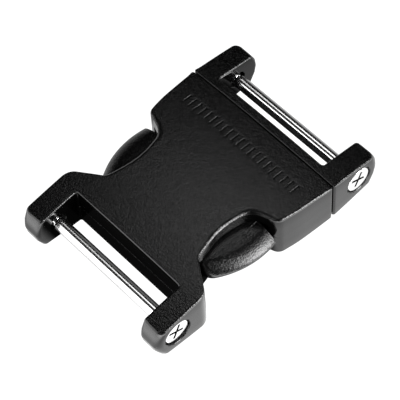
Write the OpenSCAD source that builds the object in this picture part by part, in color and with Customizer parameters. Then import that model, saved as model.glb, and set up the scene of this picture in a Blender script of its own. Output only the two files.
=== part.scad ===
// Side release buckle for 25 mm webbing, fastened, with a removable steel web pin at each end.
// +X runs along the strap from the female end to the male end, +Y is across it, +Z is up.
// The origin is under the middle of the buckle, on the surface that it rests on.

/* [Webbing] */
// Clear width between the arms, for webbing 25 mm wide
slot_w = 26; // [25.5:0.1:27]
// Width of each arm
arm_w = 4.6; // [4.2:0.1:5]
// Distance of the female end's pin from the middle
female_pin_x = 21.75; // [21.5:0.05:21.9]
// Distance of the male end's pin from the middle
male_pin_x = 21.4; // [21.2:0.05:21.6]
// Edge of the female plate that the webbing bends round
female_slot_x = 17; // [16.6:0.1:17.2]
// Edge of the male base that the webbing bends round
male_slot_x = 16.9; // [16.8:0.1:17.1]

/* [Body] */
// Half the length of the fastened buckle
half_len = 26.45; // [26:0.05:27]
// Where the two halves meet
seam_x = 15; // [14.9:0.1:15.2]
// Gap between the two halves along the seam
seam_gap = 0.2; // [0.1:0.05:0.3]
// Half width of both halves at the seam
seam_half_w = 17.7; // [17.5:0.1:18]
// Height of the pins' axes above the resting face
axis_z = 4.95; // [4.8:0.05:5.1]
// Height of the crown in the middle of the top
crown_z = 10.8; // [10.4:0.1:11.2]
// Radius of the top along the strap
top_r = 145; // [135:1:155]
// Radius of the top across the strap
crown_r = 310; // [300:5:400]
// Half length of the flat part of the underside
flat_half = 8; // [6:0.5:10]
// Radius at which the underside rises towards both ends
under_r = 122; // [110:1:140]
// Radius of the female arms' noses, seen from the side
female_nose_r = 5.8; // [5.6:0.1:5.9]
// Radius of the male arms' noses, seen from the side
male_nose_r = 5.3; // [5.2:0.1:5.5]
// Height of the female noses' centres
female_nose_z = 4.6; // [4.5:0.1:4.8]
// Height of the male noses' centres
male_nose_z = 4.9; // [4.7:0.1:5]

/* [Receptacle] */
// Mid height of the hollow and of what slides into it
hollow_mid_z = 5.4; // [5.2:0.1:5.5]
// Height of the hollow between the top and bottom plates
hollow_h = 5.2; // [5:0.1:5.4]
// Half width of the hollow between the side walls
hollow_half_w = 14.5; // [14.3:0.1:14.7]
// Rear end of the hollow
hollow_rear_x = 12.2; // [12:0.1:12.4]

/* [Prongs] */
// Clearance above and below the plug and the prongs
plug_gap = 0.2; // [0.15:0.05:0.3]
// Half width of the plug behind the seam
plug_half_w = 14.2; // [14:0.05:14.25]
// How far the plug reaches into the hollow
plug_len = 2.6; // [2:0.1:3]
// Outer side of each prong's leg
leg_y = 12.4; // [12:0.1:12.6]
// Thickness of each prong's leg
leg_t = 2.2; // [1.8:0.1:2.4]
// Shoulder of the button, which catches behind the side wall
shoulder_x = 1.9; // [1.7:0.05:1.95]
// Rear end of the button
button_rear_x = 11.1; // [10.8:0.1:11.3]
// Radius of the button's outer curve, seen from above
button_r = 16; // [15.8:0.05:16.1]
// Radius of the button's rounded rim
rim_r = 2; // [1.2:0.1:2.2]
// Half width of the guide between the prongs
guide_half_w = 2.2; // [1.8:0.1:2.6]
// Rear end of the guide
guide_rear_x = 6.2; // [4:0.2:8]

/* [Web pins] */
// Diameter of the pin's shank
shank_d = 2.5; // [2.3:0.05:2.6]
// Diameter of the countersunk head
head_d = 5.2; // [5:0.1:5.4]
// Diameter of the counterbore round the head
sink_d = 5.8; // [5.6:0.1:6]
// How far the head's face lies below the arm's side
head_sink = 0.2; // [0:0.05:0.3]
// Diameter of the thread at the far end
thread_d = 2; // [1.9:0.05:2]
// Radial clearance of the shank in the near arm
shank_gap = 0.05; // [0.04:0.01:0.08]
// Length of one wing of the cross recess, end to end
cross_span = 3; // [2.6:0.1:3.2]
// Width of a wing of the cross recess
cross_w = 0.7; // [0.6:0.05:0.8]
// Depth of the cross recess
cross_depth = 1.1; // [0.9:0.1:1.2]
// Turn of the cross recess about the pin
cross_turn = 25; // [0:1:90]

/* [Grip grooves] */
// Number of grooves in the row along the seam
groove_count = 21; // [9:2:21]
// Distance from one groove to the next
groove_pitch = 1.35; // [1.1:0.05:1.4]
// Length of a groove
groove_len = 2; // [1.5:0.1:2.2]
// Width of a groove
groove_w = 0.45; // [0.3:0.05:0.6]
// Depth of a groove
groove_depth = 0.4; // [0.2:0.05:0.5]
// Where the row lies along the strap
groove_x = 9.8; // [9:0.1:11]

/* [Hidden] */

over = 1;
slot_half = slot_w / 2;
arm_y = slot_half + arm_w;
corner_step = 9;

// Top surface: an arc along the strap, turned about an axis far below the buckle
crown_axis_z = crown_z - crown_r;
arc_centre_r = crown_r - top_r;
block_h = crown_z + over;
block_w = 2 * (seam_half_w + over);

// Hollow and what slides into it
hollow_z = hollow_mid_z - hollow_h / 2;
plug_h = hollow_h - 2 * plug_gap;
plug_z = hollow_mid_z - plug_h / 2;
female_face_x = seam_x - seam_gap / 2;
male_face_x = seam_x + seam_gap / 2;
button_x = -1.3;
button_y = 0.6;

// Pin, measured along Y from the buckle's middle; the cone's gap keeps the head off its seat
head_y = head_sink - arm_y;
head_h = (head_d - shank_d) / 2;
sink_depth = 0.3;
seat_d = head_d - 2 * sink_depth + 2 * shank_gap;
seat_h = (seat_d - shank_d) / 2 - shank_gap;
collar_r = 1.7;
collar_depth = 0.5;
shank_end_y = slot_half + collar_depth - 0.15;
thread_end_y = slot_half + 3.6;
blind_end_y = slot_half + 3.9;

// Corners of each outline on the +Y side, from the seam to the slot: x, y, corner radius
female_corners = [
    [female_face_x, seam_half_w, 0.5],
    [7, 17.1, 25],
    [3, 16.4, 1.9],
    [1.3, 11.5, 3.4],
    [-4.6, 10.1, 14],
    [-11.4, 11.8, 1.8],
    [-15.15, arm_y, 2.8],
    [-half_len, arm_y, 1.5],
    [-half_len, slot_half, 0.8],
    [-female_slot_x, slot_half, 0.35]
];
male_corners = [
    [male_face_x, seam_half_w, 0.5],
    [half_len, arm_y, 1.5],
    [half_len, slot_half, 0.8],
    [male_slot_x, slot_half, 0.5]
];
// Corners of the +Y button, seen from above
button_corners = [
    [shoulder_x, leg_y - leg_t, 0.4],
    [shoulder_x, 16.4, 0.8],
    [-2, 17.4, 0.5],
    [-button_rear_x, 14.2, 0.8],
    [-button_rear_x, 9.6, 1.3],
    [-7.7, 9.2, 4]
];

function unit(v) = v / norm(v);

function turned(v, a) = [v.x * cos(a) - v.y * sin(a), v.x * sin(a) + v.y * cos(a)];

// Points of the arc that rounds the corner b between its neighbours a and c
function corner_arc(a, b, c) =
    let (
        p = [b.x, b.y],
        u = unit([a.x, a.y] - p),
        v = unit([c.x, c.y] - p),
        half = acos(u * v) / 2,
        centre = p + unit(u + v) * b.z / sin(half),
        start = p + u * b.z / tan(half) - centre,
        sweep = (180 - 2 * half) * (cross(u, v) > 0 ? -1 : 1),
        steps = max(1, ceil(abs(sweep) / corner_step))
    )
    [for (i = [0:steps]) centre + turned(start, sweep * i / steps)];

function rounded(corners) =
    let (n = len(corners))
    [for (i = [0:n - 1]) each corner_arc(corners[(i + n - 1) % n], corners[i], corners[(i + 1) % n])];

// The +Y corners followed by their mirror images, which closes the outline across the strap
function both_sides(corners) =
    concat(corners, [for (i = [len(corners) - 1:-1:0]) [corners[i].x, -corners[i].y, corners[i].z]]);

// Everything under the crowned top surface
module under_crown() {
    ring_depth = 2 * crown_z;
    arc_turn = 4;
    translate([0, 0, crown_axis_z])
        rotate([0, -90, 0])
        rotate([0, 0, -arc_turn])
        rotate_extrude(angle = 2 * arc_turn, $fn = 1440)
        intersection() {
            translate([arc_centre_r, 0]) circle(r = top_r, $fn = 720);
            translate([crown_r - ring_depth, -half_len - over]) square([ring_depth + over, 2 * (half_len + over)]);
        }
}

// Side view of one half, whose round nose is on the side +X; the underside rises both ways
module side_view(nose_r, nose_z) {
    nose_x = half_len - nose_r;
    intersection() {
        union() {
            translate([-nose_x, 0]) square([2 * nose_x, block_h]);
            translate([nose_x, nose_z]) circle(r = nose_r, $fn = 180);
        }
        union() {
            translate([-flat_half, 0]) square([2 * flat_half, block_h]);
            for (x = [-flat_half, flat_half]) translate([x, under_r]) circle(r = under_r, $fn = 720);
        }
    }
}

// Outer form of one half, from its outline and its side view
module outer_form(corners, nose_r, nose_z, side) {
    intersection() {
        linear_extrude(height = block_h) polygon(rounded(both_sides(corners)));
        under_crown();
        mirror([side < 0 ? 1 : 0, 0, 0])
            rotate([90, 0, 0])
            linear_extrude(height = block_w, center = true) side_view(nose_r, nose_z);
    }
}

// Bores for one pin: counterbore, seat and clearance bore near, collar and blind bore far
module pin_bores(x) {
    translate([x, 0, axis_z]) rotate([-90, 0, 0]) {
        translate([0, 0, -arm_y - over]) cylinder(d = sink_d, h = over + head_sink + sink_depth, $fn = 96);
        translate([0, 0, head_y + sink_depth]) cylinder(d1 = seat_d, d2 = seat_d - 2 * seat_h, h = seat_h, $fn = 96);
        translate([0, 0, -arm_y]) cylinder(r = shank_d / 2 + shank_gap, h = arm_w + over, $fn = 64);
        translate([0, 0, slot_half - over]) cylinder(r = collar_r, h = over + collar_depth, $fn = 64);
        translate([0, 0, slot_half]) cylinder(r = thread_d / 2 + shank_gap, h = blind_end_y - slot_half, $fn = 64);
    }
}

// A row of plain short grooves across the strap, cut square into the crowned top
module grip_grooves() {
    pitch_angle = groove_pitch / crown_r * 180 / PI;
    surface_r = arc_centre_r + sqrt(top_r * top_r - groove_x * groove_x);
    slope = asin(groove_x / top_r);
    for (i = [0:groove_count - 1])
        translate([0, 0, crown_axis_z])
            rotate([(i - (groove_count - 1) / 2) * pitch_angle, 0, 0])
            translate([groove_x, 0, surface_r])
            rotate([0, slope, 0])
            cube([groove_len, groove_w, 2 * groove_depth], center = true);
}

module female_body() {
    color([0.06, 0.06, 0.065])
        difference() {
            outer_form(female_corners, female_nose_r, female_nose_z, -1);
            translate([-hollow_rear_x, -hollow_half_w, hollow_z])
                cube([hollow_rear_x + seam_x + over, 2 * hollow_half_w, hollow_h]);
            pin_bores(-female_pin_x);
            grip_grooves();
        }
}

// One prong on the +Y side: a springy leg with the button at its end
module prong() {
    leg_draft = 0.2;
    translate([0, leg_y - leg_t, plug_z + leg_draft])
        cube([seam_x - plug_len + over, leg_t, plug_h - 2 * leg_draft]);
    intersection() {
        translate([0, 0, plug_z]) linear_extrude(height = plug_h) polygon(rounded(button_corners));
        translate([button_x, button_y, plug_z]) rotate_extrude($fn = 240) button_section();
    }
}

// Half section of the round cake that the button is cut from, with a rounded rim
module button_section() {
    square([button_r - rim_r, plug_h]);
    translate([0, rim_r]) square([button_r, plug_h - 2 * rim_r]);
    for (z = [rim_r, plug_h - rim_r])
        translate([button_r - rim_r, z]) circle(r = rim_r, $fn = 48);
}

// Wide plug that fills the mouth of the hollow, with the guide between the prongs
module plug_and_guide() {
    translate([seam_x - plug_len, -plug_half_w, plug_z])
        cube([plug_len + over, 2 * plug_half_w, plug_h]);
    translate([-guide_rear_x + guide_half_w, -guide_half_w, plug_z])
        cube([guide_rear_x - guide_half_w + seam_x, 2 * guide_half_w, plug_h]);
    translate([-guide_rear_x + guide_half_w, 0, plug_z])
        cylinder(r = guide_half_w, h = plug_h, $fn = 64);
}

module male_body() {
    color([0.06, 0.06, 0.065])
        difference() {
            union() {
                outer_form(male_corners, male_nose_r, male_nose_z, 1);
                plug_and_guide();
                prong();
                mirror([0, 1, 0]) prong();
            }
            pin_bores(male_pin_x);
        }
}

// One wing of the cross recess, narrowing inwards, in the head's own frame
module cross_wing() {
    rotate([90, 0, 0])
        linear_extrude(height = cross_w, center = true)
        polygon([
            [-cross_span / 2, -over], [cross_span / 2, -over], [cross_span / 2, 0],
            [cross_span / 5, cross_depth], [-cross_span / 5, cross_depth], [-cross_span / 2, 0]
        ]);
}

// Web pin: countersunk head on the -Y side, plain shank, thread in the far arm
module web_pin(x) {
    point_h = 0.2;
    shank_y = head_y + head_h;
    translate([x, 0, axis_z]) rotate([-90, 0, 0]) difference() {
        union() {
            translate([0, 0, head_y]) cylinder(d1 = head_d, d2 = shank_d, h = head_h, $fn = 96);
            translate([0, 0, shank_y]) cylinder(d = shank_d, h = shank_end_y - shank_y, $fn = 64);
            translate([0, 0, shank_end_y - over]) cylinder(d = thread_d, h = thread_end_y - shank_end_y + over, $fn = 64);
            translate([0, 0, thread_end_y]) cylinder(d1 = thread_d, d2 = thread_d - 4 * point_h, h = point_h, $fn = 64);
        }
        translate([0, 0, head_y]) for (a = [0, 90]) rotate([0, 0, cross_turn + a]) cross_wing();
    }
}

module female_web_pin() {
    color([0.8, 0.8, 0.82]) web_pin(-female_pin_x);
}

module male_web_pin() {
    color([0.8, 0.8, 0.82]) web_pin(male_pin_x);
}

female_body();
male_body();
female_web_pin();
male_web_pin();
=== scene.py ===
"""Side release buckle for 25 mm webbing, fastened and lying on a white table, seen from above."""

import math

import bmesh
import bpy
import numpy as np
from mathutils import Matrix, Vector
from mathutils.geometry import delaunay_2d_cdt


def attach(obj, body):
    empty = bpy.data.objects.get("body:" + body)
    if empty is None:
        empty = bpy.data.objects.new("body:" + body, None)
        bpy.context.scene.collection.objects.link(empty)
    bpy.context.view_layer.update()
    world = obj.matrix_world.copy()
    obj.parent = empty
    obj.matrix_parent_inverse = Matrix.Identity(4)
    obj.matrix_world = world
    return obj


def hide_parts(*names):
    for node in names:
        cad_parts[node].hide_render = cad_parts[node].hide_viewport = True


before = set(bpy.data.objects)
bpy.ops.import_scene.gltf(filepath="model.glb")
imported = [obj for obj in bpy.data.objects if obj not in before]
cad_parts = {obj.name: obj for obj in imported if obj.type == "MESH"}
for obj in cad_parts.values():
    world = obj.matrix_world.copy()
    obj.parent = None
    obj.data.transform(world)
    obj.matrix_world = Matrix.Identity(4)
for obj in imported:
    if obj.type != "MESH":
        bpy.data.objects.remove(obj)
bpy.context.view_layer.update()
MM = 0.001

# Camera and light: the buckle was photographed with a long lens from above and a little to the female end,
# on white, in a bright tent whose top stays darker, so that black plastic shows its edges.
lens_mm, sensor_mm = 164.5, 36
clip_near, clip_far = 0.01, 10
camera_at = np.array([-109.50, -133.16, 274.13]) * MM
camera_right = Vector((0.72801, -0.68422, -0.04294))
camera_up = Vector((0.59546, 0.60004, 0.53420))
camera_data = bpy.data.cameras.new("camera")
camera_data.lens = lens_mm
camera_data.sensor_width = sensor_mm
camera_data.clip_start = clip_near
camera_data.clip_end = clip_far
camera = bpy.data.objects.new("camera", camera_data)
bpy.context.collection.objects.link(camera)
camera.matrix_world = Matrix.Translation(camera_at) @ Matrix(
    (camera_right, camera_up, camera_right.cross(camera_up))
).transposed().to_4x4()
bpy.context.scene.camera = camera
bpy.context.scene.view_settings.view_transform = "Standard"


class Socket:
    """A shader socket on which Python's operators add Math nodes."""

    def __init__(self, tree, socket):
        self.tree, self.socket = tree, socket

    def _math(self, operation, *values):
        return self.tree.node("ShaderNodeMath", {"operation": operation}, dict(enumerate(values)))[0]

    def __add__(self, other):
        return self._math("ADD", self, other)

    def __sub__(self, other):
        return self._math("SUBTRACT", self, other)

    def __rsub__(self, other):
        return self._math("SUBTRACT", other, self)

    def __mul__(self, other):
        return self._math("MULTIPLY", self, other)

    __radd__, __rmul__ = __add__, __mul__

    def size(self):
        """The value without its sign."""
        return self._math("ABSOLUTE", self)

    def clamp(self, low, high):
        """The value kept between two limits."""
        return self._math("MINIMUM", self._math("MAXIMUM", self, low), high)

    def smooth(self, start, end):
        """0 up to start and 1 from end on, with a smooth rise between."""
        return self.tree.node(
            "ShaderNodeMapRange", {"interpolation_type": "SMOOTHSTEP"},
            {"Value": self, "From Min": start, "From Max": end})[0]


class Tree:
    """The nodes of one material or of the world."""

    def __init__(self, owner):
        owner.use_nodes = True
        self.tree = owner.node_tree
        self.tree.nodes.clear()

    def node(self, kind, settings=None, values=None):
        """Adds a node, applies its settings, then fills its sockets; returns its outputs."""
        made = self.tree.nodes.new(kind)
        for name, value in (settings or {}).items():
            setattr(made, name, value)
        for name, value in (values or {}).items():
            socket = made.inputs[name]
            if isinstance(value, Socket):
                self.tree.links.new(value.socket, socket)
            else:
                socket.default_value = value
        return [Socket(self, out) for out in made.outputs]

    def object_place(self):
        """Where a point lies on the piece, in Object coordinates."""
        return self.node("ShaderNodeTexCoord")[3]

    def greys(self, share, first, second):
        """A mix of two greys: the first where the share is 0, the second where it is 1."""
        return self.node(
            "ShaderNodeMix", {"data_type": "RGBA"},
            {0: share, 6: (first, first, first, 1), 7: (second, second, second, 1)})[2]

    def surface(self, values):
        """Ends the tree in a Principled shader."""
        shader = self.node("ShaderNodeBsdfPrincipled", None, values)[0]
        self.node("ShaderNodeOutputMaterial", None, {"Surface": shader})


top_glow, lamp_glow, left_glow, right_glow, front_glow, near_glow = 0.017, 4.9, 2.8, 0.2, 3.0, 29.0
right_shade, gap_shade = 0.65, 0.85
# A lamp is a direction, the distance from it up to which the cloth is fully lit, and the one where its light
# ends. A fade is the start and the end of a change along one axis of the direction.
top_lamp, near_lamp = ((0.275, 0.25, 0.93), 0.02, 0.25), ((0.36, -0.80, 0.46), 0.08, 0.42)
top_lamp_fade, right_fade, far_right_fade = (0.12, 0.27), (0.37, 0.57), (0.78, 0.92)
left_fade, left_along_fade = (0.42, 0.60), (-0.1, 0.2)
gap_slant, gap_core, gap_edge = 0.4, 0.04, 0.18
front_fade, horizon_fade = (0.60, 0.80), (0.0, 0.2)
front_right_fade, front_left_fade = (0.47, 0.58), (0.30, 0.45)
white = (1, 1, 1, 1)
world = bpy.data.worlds.new("tent")
bpy.context.scene.world = world
tent = Tree(world)
direction = tent.node("ShaderNodeTexCoord")[0]


def lamp_box(centre, inner, outer):
    """1 within the inner distance of a direction and 0 past the outer one, like a lamp behind cloth."""
    away = tent.node("ShaderNodeVectorMath", {"operation": "DISTANCE"}, {0: direction, 1: centre})[1]
    return 1 - away.smooth(inner, outer)


across, along, height = tent.node("ShaderNodeSeparateXYZ", None, {0: direction})
beside_gap = across + height * gap_slant
gap = beside_gap.smooth(-gap_edge, -gap_core) * (1 - beside_gap.smooth(gap_core, gap_edge))
overhead = lamp_box(*top_lamp) * along.smooth(*top_lamp_fade) * lamp_glow + top_glow
left = (across * -1).smooth(*left_fade) * along.smooth(*left_along_fade) * left_glow
glow = (overhead * (1 - across.smooth(*right_fade) * right_shade) + left) * (1 - gap * gap_shade)
front = (along * -1).smooth(*front_fade) * (1 - height.smooth(*horizon_fade)) * front_glow
front = front + lamp_box(*near_lamp) * near_glow
front = front * (1 - across.smooth(*front_right_fade)) * (1 - (across * -1).smooth(*front_left_fade))
glow = glow + across.smooth(*far_right_fade) * right_glow + front
sky = tent.node("ShaderNodeBackground", None, {"Color": white, "Strength": glow})[0]
tent.node("ShaderNodeOutputWorld", None, {"Surface": sky})

# The table is white paper, burnt out in the picture. What the buckle mirrors of it is painted light and a
# painted shadow: it glows dark under the body and brighter towards the viewer. It lies a hair below the
# resting surface.
table_half, table_z, paper_white = 0.9, -0.02 * MM, 1.15
square = np.array([(-1, -1), (1, -1), (1, 1), (-1, 1)])
floor_mesh = bpy.data.meshes.new("table")
floor_mesh.from_pydata([(x, y, table_z) for x, y in (square * table_half).tolist()], [], [(0, 1, 2, 3)])
floor = bpy.data.objects.new("table", floor_mesh)
bpy.context.collection.objects.link(floor)
paper = bpy.data.materials.new("white_paper")
sheet = Tree(paper)
seen = sheet.node("ShaderNodeLightPath")[0]
paper_x, paper_y, _ = sheet.node("ShaderNodeSeparateXYZ", None, {0: sheet.object_place()})
shadow_x, shadow_half_x, shadow_half_y, shadow_blur = -0.5 * MM, 23 * MM, 15.6 * MM, 1.2 * MM
# Painted shadow: the paper the buckle mirrors is darker in a box under the body.
shadow = (1 - (paper_x - shadow_x).size().smooth(shadow_half_x - shadow_blur, shadow_half_x + shadow_blur)) * (
    1 - paper_y.size().smooth(shadow_half_y - shadow_blur, shadow_half_y + shadow_blur))
paper_glow, female_end_glow, near_side_glow = 1.25, 5, 7
female_end_fade, near_side_fade = (29 * MM, 42 * MM), (25 * MM, 36 * MM)
male_end_fall, male_end_reach, near_side_rise, near_side_reach = 20, 25 * MM, 48, 20 * MM
paper_share, shadow_share = 0.64, 0.63
# Painted light: the mirrored paper glows brighter past the female end and towards the viewer, and dimmer
# towards the male end.
lit_paper = (paper_glow + (paper_x * -1).smooth(*female_end_fade) * female_end_glow
             - paper_x.clamp(0.0, male_end_reach) * male_end_fall
             - paper_y.clamp(-near_side_reach, 0.0) * near_side_rise
             + (paper_y * -1).smooth(*near_side_fade) * near_side_glow)
lit_paper = lit_paper * (paper_share - shadow * shadow_share)
burnt_out = sheet.node("ShaderNodeEmission", None, {"Color": white, "Strength": paper_white})[0]
mirrored = sheet.node("ShaderNodeEmission", None, {"Color": white, "Strength": lit_paper})[0]
shown = sheet.node("ShaderNodeMixShader", None, {0: seen, 1: mirrored, 2: burnt_out})[0]
sheet.node("ShaderNodeOutputMaterial", None, {"Surface": shown})
floor_mesh.materials.append(paper)

# Female half: the receptacle, one injection moulding in black acetal. Two plates with a hollow
# between them, open at the sides for the buttons, and two arms that hold the web pin.
# The tool parts at mid height, so every wall leans in a little above and below that line.
half_len, arm_y, slot_half = 26.45, 17.6, 13.0
seam_x, seam_gap = 15.0, 0.2
pin_z, parting_z = 4.95, 4.95
crown_z, crown_r, top_r = 10.8, 310.0, 145.0
flat_half, under_r = 8.0, 122.0
female_pin_x = -21.75
female_nose = (-1, 5.8, 4.6)
edge_r, side_edge_r, scallop_r, haunch_r, under_edge_r, seam_edge_r = 0.22, 0.28, 0.45, 0.9, 0.22, 0.16
thumb_y, seam_clear, crisp = 11, 0.4, 0.42
scallop_x, scallop_len, scallop_w = -4.5, 6, 3
haunch_x, haunch_len, haunch_y, haunch_w = 2, 2.2, 2, 3
fillet_rows, draft, flash, nose_rounds = 8, 0.006, 0.07, 6
# Each corner is its place and the radius that rounds it, along the +Y side from the seam to the slot.
female_corners = [
    (seam_x - seam_gap / 2, 17.7, 0.5), (7, 17.1, 25), (3, 16.4, 1.9), (1.3, 11.5, 3.4), (-4.6, 10.1, 14),
    (-11.4, 11.8, 1.8), (-15.15, arm_y, 2.8), (-half_len, arm_y, 1.5), (-half_len, slot_half, 0.8),
    (-17, slot_half, 0.35)]


def outline(corners, pitch=0.6, step=math.radians(7)):
    """A closed outline, anticlockwise from above. Each corner (x, y, radius) becomes the arc that touches
    both of its sides; straight stretches are divided at the pitch. Returns points and outward normals."""
    corner = np.array(corners, float)
    ahead = np.roll(corner[:, :2], -1, 0) - corner[:, :2]
    if np.sum(corner[:, 0] * np.roll(corner[:, 1], -1) - corner[:, 1] * np.roll(corner[:, 0], -1)) < 0:
        return outline(corners[::-1], pitch, step)
    ahead /= np.linalg.norm(ahead, axis=1)[:, None]
    before = np.roll(ahead, 1, 0)
    turn = np.arctan2(before[:, 0] * ahead[:, 1] - before[:, 1] * ahead[:, 0], (before * ahead).sum(1))
    reach = (corner[:, 2] * np.tan(np.abs(turn) / 2))[:, None]
    arc_start, arc_end = corner[:, :2] - before * reach, corner[:, :2] + ahead * reach
    points, normals = [], []
    for i, (bend, radius) in enumerate(zip(turn, corner[:, 2])):
        swept = np.linspace(0, bend, max(2, math.ceil(abs(bend) / step)) + 1)
        angle = math.atan2(-before[i, 0], before[i, 1]) + swept
        normal = np.stack([np.cos(angle), np.sin(angle)], 1)
        points.append(arc_start[i] + math.copysign(radius, bend) * (normal - normal[0]))
        normals.append(normal)
        straight = arc_start[(i + 1) % len(turn)] - arc_end[i]
        share = np.linspace(0, 1, math.ceil(np.linalg.norm(straight) / pitch) + 1)[1:-1, None]
        points.append(arc_end[i] + share * straight)
        normals.append(np.repeat(normal[-1:], len(share), 0))
    return np.concatenate(points), np.concatenate(normals)


def both_sides(corners):
    """The corners on the +Y side and their mirror images, which close the outline across the strap."""
    return corners + [(x, -y, radius) for x, y, radius in corners[::-1]]


def top_edge(plan, normal):
    """The top's fillet at each point of the outline and the angle at which it ends. It is larger along the
    sides. Round the scallops, where the thumbs press, and the haunches between them and the walls by the
    seam, it is a generous bevel that ends in a crisp edge."""
    x, beside = plan[:, 0], np.maximum(np.abs(plan[:, 1]) - thumb_y, 0)
    scallop = np.exp(-(((x - scallop_x) / scallop_len) ** 4 + (beside / scallop_w) ** 4))
    haunch = np.exp(-(((x - haunch_x) / haunch_len) ** 4 + ((beside - haunch_y) / haunch_w) ** 4))
    away = np.clip(np.abs(x - seam_x) - seam_clear, 0, 1)
    radius = edge_r + side_edge_r * away * normal[:, 1] ** 4 + scallop_r * scallop + haunch_r * haunch
    return radius, math.pi / 2 * (1 - crisp * np.clip(scallop + haunch, 0, 1))


def crown(x, y):
    """Top surface: an arc along the strap, turned about a line far below the buckle."""
    return crown_z - crown_r + np.sqrt((crown_r - top_r + np.sqrt(top_r ** 2 - x ** 2)) ** 2 - y ** 2)


def belly(x, y):
    """Underside: flat in the middle, rising in an arc towards both ends."""
    return under_r - np.sqrt(under_r ** 2 - np.maximum(np.abs(x) - flat_half, 0) ** 2)


def level(z):
    """A flat surface at height z."""
    return lambda x, y: z + 0 * x * y


def mesh_object(name, points, faces):
    """A new object from an array of points in millimetres and a list of faces."""
    mesh = bpy.data.meshes.new(name)
    mesh.from_pydata((np.reshape(points, (-1, 3)) * MM).tolist(), [], faces)
    made = bpy.data.objects.new(name, mesh)
    bpy.context.collection.objects.link(made)
    return made


def skin(rows, columns):
    """Quads between the rows of a grid that closes on itself along its columns."""
    row, column = np.meshgrid(np.arange(rows - 1), np.arange(columns), indexing="ij")
    here, right = row * columns + column, row * columns + (column + 1) % columns
    return np.stack([here, right, right + columns, here + columns], -1).reshape(-1, 4).tolist()


def closed_skin(rows, columns):
    """The same quads, with a face that closes each end."""
    last = (rows - 1) * columns
    return skin(rows, columns) + [list(range(columns))[::-1], list(range(last, last + columns))]


def moulding(name, corners, low, high, low_r, high_r, nose=None, seam=0, grid=1.0):
    """A moulded form: a profile with two rounded edges is carried round the plan outline. At each level
    the outline moves in by the fillet and the draft, and lies between the surfaces low(x, y) and high(x, y).
    A nose (side, radius, height) shortens the end so that it follows a circle in the side view, and the
    fillets are small on the side where the other half meets this one (seam, the sign of its normal).
    A fine parting line runs round the ends at mid height. Points on a grid fill the top and underside."""
    guard, keep_off, merge = 0.05, grid * 0.4, 1e-5
    plan, normal = outline(corners)
    high_end = np.full(len(plan), math.pi / 2)
    if callable(high_r):
        high_r, high_end = high_r(plan, normal)
    # From 0 on a wall three quarters turned to the other half, to 1 on one that faces it.
    at_seam = np.clip(normal[:, 0] * seam * 4 - 3, 0, 1)
    low_r, high_r = (r + (seam_edge_r - r) * at_seam for r in (low_r, high_r))
    bend = np.linspace(0, 1, fillet_rows)[:, None]
    (low_in, low_up), (high_in, high_down) = (
        (r * (np.sin(end) - np.sin(bend * end)), r * (1 - np.cos(bend * end)))
        for r, end in ((low_r, math.pi / 2), (high_r, high_end)))
    wall = np.array([0.25, 0.475, 0.49, 0.5, 0.51, 0.525, 0.75])[:, None]
    line = flash * (wall == 0.5) * np.abs(normal[:, 0]) ** 3
    inset = np.concatenate([low_in[:1] + guard, low_in, line, high_in[::-1], high_in[:1] + guard])
    above = np.concatenate([
        [0 * low_r], low_up, low_up[-1:] * (1 - wall) - high_down[-1:] * wall, -high_down[::-1], [0 * low_r]])
    share = np.concatenate([np.zeros((fillet_rows + 1, 1)), wall, np.ones((fillet_rows + 1, 1))])

    def place(x, y, share, above):
        """Points at a share of the height, a distance above it, once the nose has shortened the end. Where
        the nose moves a point the surfaces differ, so its height and place are found in a few rounds."""
        moved = x.copy()
        for _ in range(nose_rounds):
            bottom, top = low(moved, y), high(moved, y)
            z = bottom + (top - bottom) * share + above
            if nose:
                side, radius, centre = nose
                start = half_len - radius
                kept = np.sqrt(np.maximum(1 - ((z - centre) / radius) ** 2, 0))
                moved = np.where(x * side > start, side * (start + (x * side - start) * kept), x)
        return np.stack([moved, y + 0 * moved, z], -1)

    levels = plan[None] - inset[..., None] * normal[None]
    rough = place(levels[..., 0], levels[..., 1], share, above)
    levels = levels - (draft * np.abs(rough[..., 2] - parting_z))[..., None] * normal[None]
    side_points = place(levels[..., 0], levels[..., 1], share, above)
    count, rows = len(plan), len(inset)
    points, faces = [side_points.reshape(-1, 3)], skin(rows, count)
    used = rows * count
    for row, end in ((0, 0), (rows - 1, 1)):
        rim = levels[row]
        ticks = [np.arange(rim[:, k].min() + grid / 2, rim[:, k].max(), grid) for k in (0, 1)]
        inner = np.stack(np.meshgrid(*ticks, indexing="ij"), -1).reshape(-1, 2)
        a, b = rim, np.roll(rim, -1, 0)
        spans = (a[None, :, 1] > inner[:, None, 1]) != (b[None, :, 1] > inner[:, None, 1])
        rise = np.where(a[:, 1] == b[:, 1], 1, b[:, 1] - a[:, 1])
        crossing = a[None, :, 0] + (
            inner[:, None, 1] - a[None, :, 1]) * (b[:, 0] - a[:, 0])[None] / rise[None]
        inside = (spans & (inner[:, None, 0] < crossing)).sum(1) % 2 == 1
        clear = np.linalg.norm(inner[:, None] - rim[None], axis=2).min(1) > keep_off
        inner = inner[inside & clear]
        flat = np.concatenate([rim, inner])
        _, _, triangles, origin, _, _ = delaunay_2d_cdt(
            [Vector(p) for p in flat.tolist()], [(i, (i + 1) % count) for i in range(count)], [], 1, merge)
        index = [(row * count + o[0]) if o[0] < count else used + o[0] - count for o in origin]
        points.append(place(inner[:, 0], inner[:, 1], end, 0))
        faces += [[index[v] for v in (t if end else t[::-1])] for t in triangles]
        used += len(inner)
    return mesh_object(name, np.concatenate(points), faces)


def turned(name, x, z, profile, around=64):
    """A turned form about the pin's line, which lies along Y: the profile's points (radius, y) go round it."""
    radius, station = np.array(profile, float).T
    angle = np.linspace(0, 2 * math.pi, around, endpoint=False)
    ring = np.stack([np.sin(angle), 0 * angle, np.cos(angle)], 1)
    axis = np.stack([0 * station + x, station, 0 * station + z], 1)
    return mesh_object(
        name, radius[:, None, None] * ring[None] + axis[:, None], closed_skin(len(radius), around))


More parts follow.
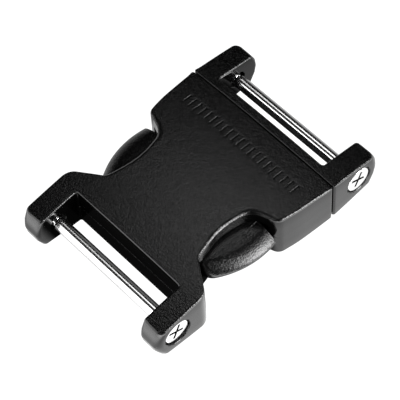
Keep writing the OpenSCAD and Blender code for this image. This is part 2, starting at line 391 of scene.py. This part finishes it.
def combine(target, tool, operation):
    """Cuts the tool from the target or joins it on, and removes the tool."""
    change = target.modifiers.new(operation, "BOOLEAN")
    change.operation, change.solver, change.object = operation, "EXACT", tool
    with bpy.context.temp_override(object=target, active_object=target, selected_objects=[target]):
        bpy.ops.object.modifier_apply(modifier=change.name)
    bpy.data.objects.remove(tool)


female = moulding(
    "female_half", both_sides(female_corners), belly, crown, under_edge_r, top_edge, female_nose, 1)

hollow_rear_x, hollow_half_w, hollow_low, hollow_high, hollow_r = 12.2, 14.5, 2.8, 8.0, 0.3
hollow_corners = [(seam_x + 2, hollow_half_w, 0.5), (-hollow_rear_x, hollow_half_w, 0.8)]
hollow = moulding(
    "hollow", both_sides(hollow_corners), level(hollow_low), level(hollow_high), hollow_r, hollow_r, grid=3)
combine(female, hollow, "DIFFERENCE")

# Each web pin sits in a stepped bore in the near arm and is screwed into a blind bore in the far arm.
# The mouths are broken by a small chamfer, as the moulding tool leaves them.
shank_r, head_r, sink_r, seat_r, collar_r, collar_depth, thread_r = 1.25, 2.5, 2.78, 2.3, 1.7, 0.6, 0.95
neck_r, neck_y = 0.85, 12.75
bore_gap, chamfer, seat_below, blind_depth, past_face = 0.05, 0.12, 0.3, 3.9, 1
female_sink, male_sink = 0.4, 0.15


def pin_bores(part, x, sink):
    """Cuts both bores of one pin out of a half; its head ends up the sink below the arm's face. The near
    one has a counterbore and a cone seat, the far one a shallow collar round the blind hole."""
    sink_depth, shank_bore, thread_bore = sink + seat_below, shank_r + bore_gap, thread_r + bore_gap
    near = [
        (sink_r + chamfer + past_face, -arm_y - past_face), (sink_r + chamfer, -arm_y),
        (sink_r, -arm_y + chamfer), (sink_r, -arm_y + sink_depth), (seat_r, -arm_y + sink_depth),
        (shank_bore, -arm_y + sink_depth + seat_r - shank_r - bore_gap), (shank_bore, -slot_half + past_face)]
    far = [
        (shank_bore, slot_half - past_face), (collar_r + chamfer, slot_half - past_face),
        (collar_r + chamfer, slot_half), (collar_r, slot_half + chamfer), (collar_r, slot_half + collar_depth),
        (thread_bore, slot_half + collar_depth), (thread_bore, slot_half + blind_depth)]
    for name, profile in (("near_bore", near), ("far_bore", far)):
        combine(part, turned(name, x, pin_z, profile), "DIFFERENCE")


pin_bores(female, female_pin_x, female_sink)

# A row of short grooves across the top, beside the seam, gives the fingers a grip. They are sunk into the
# moulding by bars in the tool, and their rims are slightly rounded.
groove_count, groove_pitch, groove_x = 21, 1.35, 9.8
groove_len, groove_w, groove_depth, groove_rim = 2.0, 0.45, 0.4, 0.08


def gathered(name, pieces):
    """One object with the meshes of several, which go."""
    shape = bmesh.new()
    for piece in pieces:
        shape.from_mesh(piece.data)
        bpy.data.objects.remove(piece)
    mesh = bpy.data.meshes.new(name)
    shape.to_mesh(mesh)
    shape.free()
    made = bpy.data.objects.new(name, mesh)
    bpy.context.collection.objects.link(made)
    return made


def groove_cutter(y):
    """A bar that sinks the groove's depth into the crowned top, flared at the top by the rounded rim."""
    bend = np.linspace(0, math.pi / 2, 5)
    out = np.concatenate([[0], groove_rim * (1 - np.cos(bend)), [groove_rim * 2]])
    up = np.concatenate([[-groove_depth], groove_rim * (np.sin(bend) - 1), [groove_rim]])
    corner = square * (groove_len / 2, groove_w / 2)
    plan = corner + np.sign(corner) * out[:, None, None] + (groove_x, y)
    points = np.concatenate([plan, (crown(plan[..., 0], plan[..., 1]) + up[:, None])[..., None]], -1)
    return mesh_object("groove", points, closed_skin(*points.shape[:2]))


grooves = [groove_cutter((row - (groove_count - 1) / 2) * groove_pitch) for row in range(groove_count)]
combine(female, gathered("grooves", grooves), "DIFFERENCE")

# Black acetal from a spark-eroded tool: the faces that look up have its fine pebbled grain, and the walls,
# which slide out of the tool, are smoother.
pebble_scale, pebble_height = 3400.0, 0.06 * MM
wall_or_top, pebble_fade, deep_black, worn_black = (0.15, 0.75), (0.45, 0.7), 0.0006, 0.008
wall_roughness, grain_roughness, acetal_ior, shine = 0.12, 0.12, 1.46, 0.5
plastic = bpy.data.materials.new("black_plastic")
grain = Tree(plastic)
acetal_place = grain.object_place()
upright = grain.node("ShaderNodeSeparateXYZ", None, {0: grain.node("ShaderNodeNewGeometry")[1]})[2]
pebbles = grain.node(
    "ShaderNodeTexNoise", None,
    {"Vector": acetal_place, "Scale": pebble_scale, "Detail": 2.0, "Roughness": 0.6})[0]
facing = upright.smooth(*wall_or_top)
bump = grain.node(
    "ShaderNodeBump", None, {"Strength": 1.0, "Distance": pebble_height, "Height": pebbles * facing})[0]
speckle = grain.greys(pebbles.smooth(*pebble_fade) * facing, deep_black, worn_black)
grain.surface({
    "Base Color": speckle, "IOR": acetal_ior, "Specular IOR Level": shine,
    "Roughness": facing * grain_roughness + wall_roughness, "Normal": bump})
crease = math.radians(35)


def finish_piece(piece, material, slot, *nodes):
    """Gives a finished piece its material, shades it smooth up to the crease angle, hangs it on the root body
    and hides the CAD nodes it stands for."""
    piece.data.materials.append(material)
    piece.data.shade_smooth()
    piece.data.set_sharp_from_angle(angle=crease)
    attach(piece, "root")
    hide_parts(*nodes)


finish_piece(female, plastic, "black_plastic", "female_body")

# Male half: base, arms, plug, guide and the two prongs, again one moulding in the same black acetal.
# The prongs' ends are the buttons that bulge out of the receptacle's side windows.
male_pin_x = 21.4
male_nose = (1, 5.3, 4.9)
male_corners = [
    (seam_x + seam_gap / 2, 17.7, 0.5), (half_len, arm_y, 1.5), (half_len, slot_half, 0.8),
    (16.9, slot_half, 0.5)]
prong_low, prong_high = 3.0, 7.8
plug_len, plug_half_w, guide_half_w, guide_rear_x, guide_tip_r = 2.6, 14.2, 2.2, -6.2, 1.8
leg_y, leg_t, leg_lower, leg_in_button, in_base = 12.4, 2.2, 0.2, 2, 1
shoulder_x, button_rear_x = 1.9, -11.1
circle_x, circle_y, circle_r = -1.3, 0.6, 16.45
button_root_y, slope_y, slope = 9.4, 10.2, 0.12
bulge, bulge_power, least_flat, rear_r, rear_drop = 3.0, 1.3, 0.1, 1.0, 0.3
male = moulding("male_half", both_sides(male_corners), belly, crown, under_edge_r, top_edge, male_nose, -1)


def pillow(name, corners, low, high, rim):
    """A closed form over an outline: rings shrink towards its middle, and near the outline they drop in a
    round rim."""
    rim_rings, inner_rings = 9, 8
    plan, normal = outline(corners, pitch=0.4)
    middle = (plan.min(0) + plan.max(0)) / 2
    reach = ((plan - middle) * normal).sum(1)
    radius = np.full(len(plan), rim)
    bend = np.linspace(0, math.pi / 2, rim_rings)[:, None]
    edge_in, edge_up = radius * (1 - np.cos(bend)), radius * (1 - np.sin(bend))
    share = 1 - edge_in / reach
    inner = share[-1] * np.linspace(0.8, 0.05, inner_rings)[:, None]
    rings = np.concatenate([share, inner])
    drop = np.concatenate([edge_up, np.zeros_like(inner)])
    xy = middle + rings[..., None] * (plan - middle)
    top = np.concatenate([xy, (high - drop)[..., None]], -1)
    bottom = np.concatenate([xy, (low + drop)[..., None]], -1)[::-1]
    points = np.concatenate([bottom, top])
    return mesh_object(name, points, closed_skin(*points.shape[:2]))


def block(name, x0, x1, y0, y1, low, high, corner=0.4, rim=0.2):
    """A pillow over a rectangle."""
    rectangle = [(x, y, corner) for x, y in ((x1, y0), (x1, y1), (x0, y1), (x0, y0))]
    return pillow(name, rectangle, low, high, rim)


def thumb_button(name, side):
    """A button: a section across the strap is carried along X from its rounded rear end to its square
    shoulder, with its outer edge on a circle in plan. The section's faces slope towards that edge and end in
    a lean half ellipse: its reach is a power of the cosine and its height the same power of the sine. Near
    the rear end, where the button is narrow, the reach is shortened."""
    stations, nose_points = 70, 41
    start = button_rear_x + 0.01
    x = start + (shoulder_x - start) * (1 - np.cos(np.linspace(0, math.pi, stations))) / 2
    rounded = np.sqrt(1 - np.clip(1 - (x - button_rear_x) / rear_r, 0, 1) ** 2)[:, None]
    outer = circle_y + np.sqrt(circle_r ** 2 - (x[:, None] - circle_x) ** 2) - rear_r * (1 - rounded)
    bend = np.linspace(-math.pi / 2, math.pi / 2, nose_points)
    reach = np.minimum(bulge, outer - slope_y - least_flat)
    y = outer - reach * (1 - np.cos(bend) ** bulge_power)
    flat = slope_y + (outer - reach - slope_y) * np.array([1, 0.6, 0.3, 0])
    y = np.concatenate([flat[:, ::-1], y[:, 1:-1], flat, np.full((len(x), 2), button_root_y)], 1)
    curve = np.sign(bend[1:-1]) * np.abs(np.sin(bend[1:-1])) ** bulge_power
    rise = np.concatenate([np.full(4, -1), curve, np.full(5, 1), [-1]])
    half = (prong_high - prong_low) / 2 - slope * np.maximum(y - slope_y, 0)
    z = rise * half * (1 - rear_drop * (1 - rounded)) + (prong_high + prong_low) / 2
    points = np.stack([x[:, None] + 0 * y, side * y, z], -1)[::side]
    return mesh_object(name, points, closed_skin(*points.shape[:2]))


plug = block("plug", seam_x - plug_len, seam_x + in_base, -plug_half_w, plug_half_w, prong_low, prong_high)
combine(male, plug, "UNION")
guide = block(
    "guide", guide_rear_x, seam_x + in_base, -guide_half_w, guide_half_w, prong_low, prong_high, guide_tip_r)
combine(male, guide, "UNION")
for side in (1, -1):
    button = thumb_button("button", side)
    inner_y, outer_y = sorted((side * (leg_y - leg_t), side * leg_y))
    leg = block(
        "leg", shoulder_x - leg_in_button, seam_x - in_base, inner_y, outer_y,
        prong_low + leg_lower, prong_high - leg_lower)
    combine(male, button, "UNION")
    combine(male, leg, "UNION")
pin_bores(male, male_pin_x, male_sink)
finish_piece(male, plastic, "black_plastic", "male_body")

# Web pins: turned steel, drawn bright, with a countersunk head that a screwdriver turns and a short thread
# at the far end. Each crosses the gap between two arms and carries the webbing.
cross_half, cross_w, cross_depth, cross_turn = 1.75, 0.55, 0.8, math.radians(25)
cross_end_share, cross_wall_share = 0.8, 0.3
head_edge, cone_in, cone_below = 0.06, 0.1, 0.14
guard_rows, bevel, bevel_middle, neck_len = (0.3, 0.2), 0.2, 0.06, 0.3
thread_from, thread_len, rib_pitch, rib_depth = 0.4, 3.2, 0.2, 0.12
# The recess grey is painted shade, not the steel's own colour.
bright, recess_shade_grey, recess_start, recess_end = 0.97, 0.12, (0.07 * MM, 0.2 * MM), (0.9 * MM, MM)
drawn_stretch, drawn_scale, drawn_roughness, steel_roughness = (1, 0.03, 1), 4000.0, 0.05, 0.15
steel = bpy.data.materials.new("steel")
drawn = Tree(steel)
steel_place = drawn.object_place()
stretched = drawn.node("ShaderNodeMapping", None, {"Vector": steel_place, "Scale": drawn_stretch})[0]
lines = drawn.node("ShaderNodeTexNoise", None, {"Vector": stretched, "Scale": drawn_scale, "Detail": 2.0})[0]
steel_x, steel_y, _ = drawn.node("ShaderNodeSeparateXYZ", None, {0: steel_place})
# The cross recess gets painted shade: its colour is darker from just below the head's face down to its
# bottom. Below the head's face, which lies deeper in the female end than in the male one, it is the only steel
# in sight.
below_face = steel_y + (arm_y - female_sink) * MM + steel_x.smooth(-MM, MM) * (female_sink - male_sink) * MM
cross_painted_shade = below_face.smooth(*recess_start) * (1 - below_face.smooth(*recess_end))
steel_and_painted_shade = drawn.greys(cross_painted_shade, bright, recess_shade_grey)
drawn.surface({
    "Base Color": steel_and_painted_shade, "Metallic": 1.0, "Roughness": lines * drawn_roughness + steel_roughness})


def cross_wing(x, head_y, turn):
    """One bar of the cross recess, turned about the pin's line, shorter and narrower at its bottom."""
    below, share = np.array([(-1, 1), (0, 1), (cross_depth, cross_end_share)]).T[:, :, None]
    a = square[:, 0] * cross_half * share
    b = square[:, 1] * cross_w / 2 * (1 - cross_wall_share * (1 - share))
    points = np.stack([
        x + a * math.cos(turn) - b * math.sin(turn), head_y + below + 0 * a,
        pin_z - a * math.sin(turn) - b * math.cos(turn)], -1)
    return mesh_object("wing", points, closed_skin(*points.shape[:2]))


def web_pin(name, x, sink, node):
    """A head with a broken edge, a shank and a thread, with the cross recess cut out of the head. Two rows
    close together before the shank's bevel keep its shading straight."""
    head_y = sink - arm_y
    profile = [
        (head_r - head_edge, head_y), (head_r, head_y + head_edge), (head_r - cone_in, head_y + cone_below),
        (shank_r, head_y + head_r - shank_r), *((shank_r, neck_y - before) for before in guard_rows),
        (shank_r - bevel_middle, neck_y - bevel_middle), (shank_r - bevel, neck_y), (neck_r, neck_y),
        (neck_r, neck_y + neck_len)]
    ribs = np.arange(0, thread_len, rib_pitch)
    profile += [(thread_r - rib_depth * (k % 2), neck_y + thread_from + v) for k, v in enumerate(ribs)]
    pin = turned(name, x, pin_z, profile)
    for quarter in (0, math.pi / 2):
        combine(pin, cross_wing(x, head_y, cross_turn + quarter), "DIFFERENCE")
    finish_piece(pin, steel, "steel", node)


web_pin("female_end_pin", female_pin_x, female_sink, "female_web_pin")
web_pin("male_end_pin", male_pin_x, male_sink, "male_web_pin")
